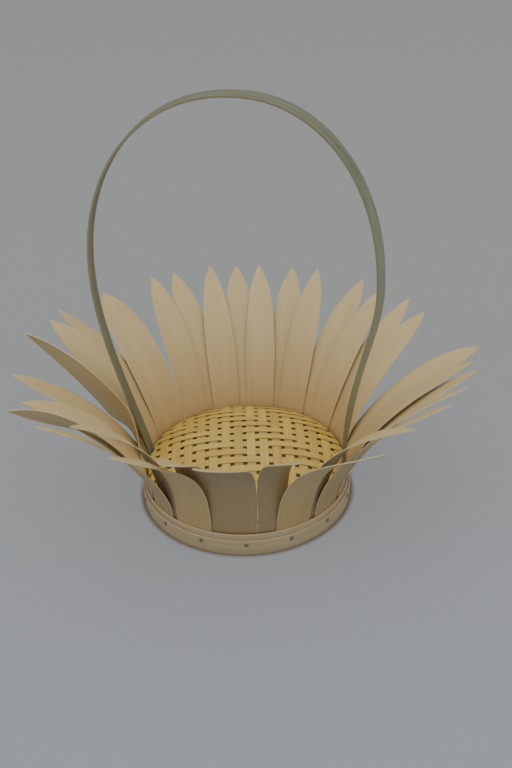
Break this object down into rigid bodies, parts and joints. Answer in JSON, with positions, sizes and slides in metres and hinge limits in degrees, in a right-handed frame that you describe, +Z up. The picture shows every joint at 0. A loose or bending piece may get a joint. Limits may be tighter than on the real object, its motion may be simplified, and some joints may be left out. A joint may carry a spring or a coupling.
{
  "type": "flower-shaped splint basket",
  "caption": "Flower-shaped wood splint basket: pointed petals flare from a round tacked hoop round a domed woven floor, under a tall bent strip handle; it holds small things.",
  "frame": {"origin": "under the middle of the basket's extents, on the surface that it stands on; the hoop's axis is 0.4 mm to -X and 10.7 mm to -Y of it", "axes": "+Z up along the hoop's axis; -Y is the front, where the petals stand steepest in the picture; X runs from one end of the handle's arch to the other, within 12 degrees"},
  "size_m": [0.4334, 0.3912, 0.3886],
  "materials": {
    "petal_wood": "bare sliced veneer, fine straight grain along each petal, matt",
    "hoop_wood": "bare sawn splint, grain round the hoop, matt",
    "yellow_splint": "yellow stained flat splint, fine grain, low sheen",
    "green_wood": "green-brown stained bent strip, fine grain, low sheen",
    "tack_steel": "dulled domed steel"
  },
  "bodies": {
    "root": {"outer_hoop": "hoop_wood", "inner_hoop": "hoop_wood", "petal_inner_01": "petal_wood", "petal_inner_02": "petal_wood", "petal_inner_03": "petal_wood", "petal_inner_04": "petal_wood", "petal_inner_05": "petal_wood", "petal_inner_06": "petal_wood", "petal_inner_07": "petal_wood", "petal_inner_08": "petal_wood", "petal_inner_09": "petal_wood", "petal_inner_10": "petal_wood", "petal_inner_11": "petal_wood", "petal_inner_12": "petal_wood", "petal_inner_13": "petal_wood", "petal_inner_14": "petal_wood", "petal_inner_15": "petal_wood", "petal_inner_16": "petal_wood", "petal_inner_17": "petal_wood", "petal_outer_01": "petal_wood", "petal_outer_02": "petal_wood", "petal_outer_03": "petal_wood", "petal_outer_04": "petal_wood", "petal_outer_05": "petal_wood", "petal_outer_06": "petal_wood", "petal_outer_07": "petal_wood", "petal_outer_08": "petal_wood", "petal_outer_09": "petal_wood", "petal_outer_10": "petal_wood", "petal_outer_11": "petal_wood", "petal_outer_12": "petal_wood", "petal_outer_13": "petal_wood", "petal_outer_14": "petal_wood", "liner_back": "hoop_wood", "liner_front": "hoop_wood", "handle": "green_wood", "woven_floor": "yellow_splint", "tack_01": "tack_steel", "tack_02": "tack_steel", "tack_03": "tack_steel", "tack_04": "tack_steel", "tack_05": "tack_steel", "tack_06": "tack_steel", "tack_07": "tack_steel", "tack_08": "tack_steel", "tack_09": "tack_steel", "tack_10": "tack_steel", "tack_11": "tack_steel", "tack_12": "tack_steel", "tack_13": "tack_steel", "tack_14": "tack_steel", "tack_15": "tack_steel"}
  },
  "joints": []
}
